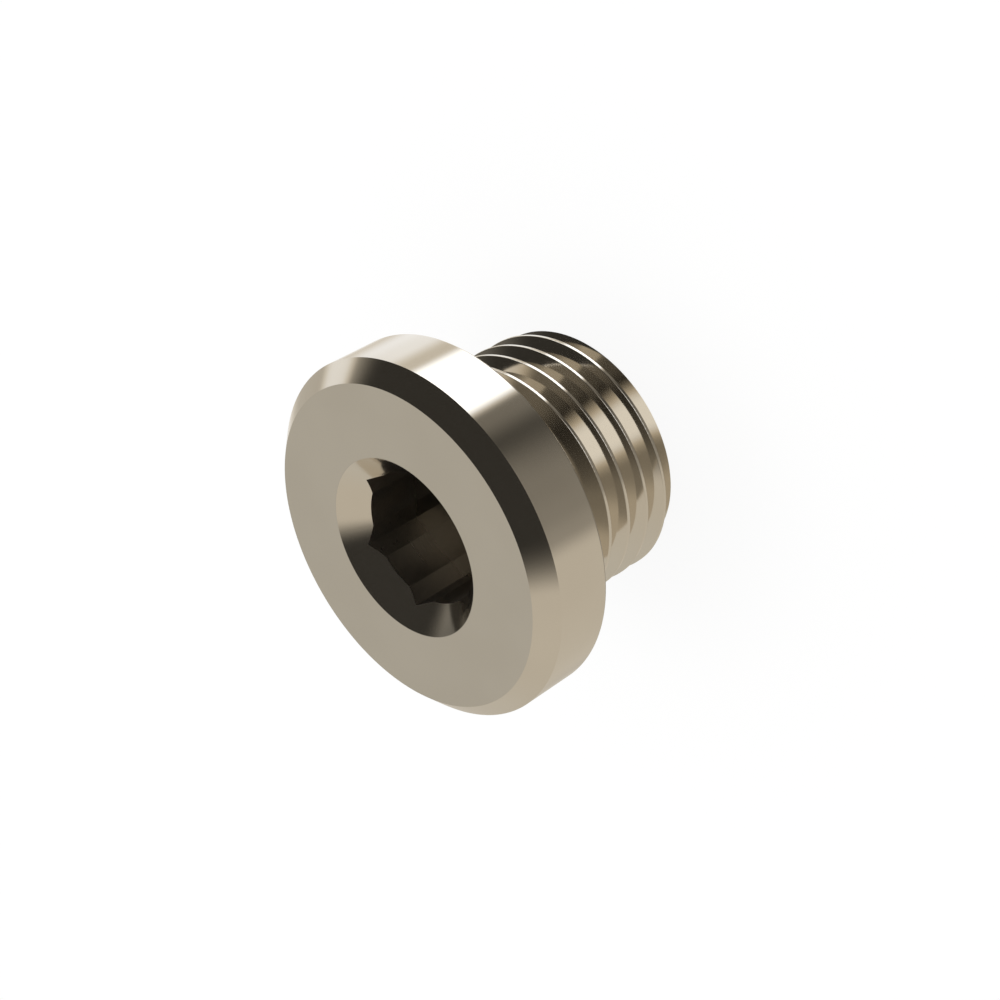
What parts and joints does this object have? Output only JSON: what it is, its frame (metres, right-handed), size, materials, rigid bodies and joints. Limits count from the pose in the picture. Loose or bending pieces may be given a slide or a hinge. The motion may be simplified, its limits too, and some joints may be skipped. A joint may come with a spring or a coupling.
{
  "type": "male threaded plug",
  "caption": "Nickel-plated screw plug with a chamfered collar head, a countersunk hexagon socket and a short metric thread, for closing a tapped port.",
  "frame": {"origin": "centre of the flat thread end, on the plug's axis", "axes": "+Z along the axis, from the thread end to the head's face; two corners of the hexagon socket lie on the X axis"},
  "size_m": [0.014, 0.014, 0.0093],
  "materials": {
    "nickel_plated_brass": "polished"
  },
  "bodies": {
    "root": {"plug": "nickel_plated_brass"}
  },
  "joints": []
}
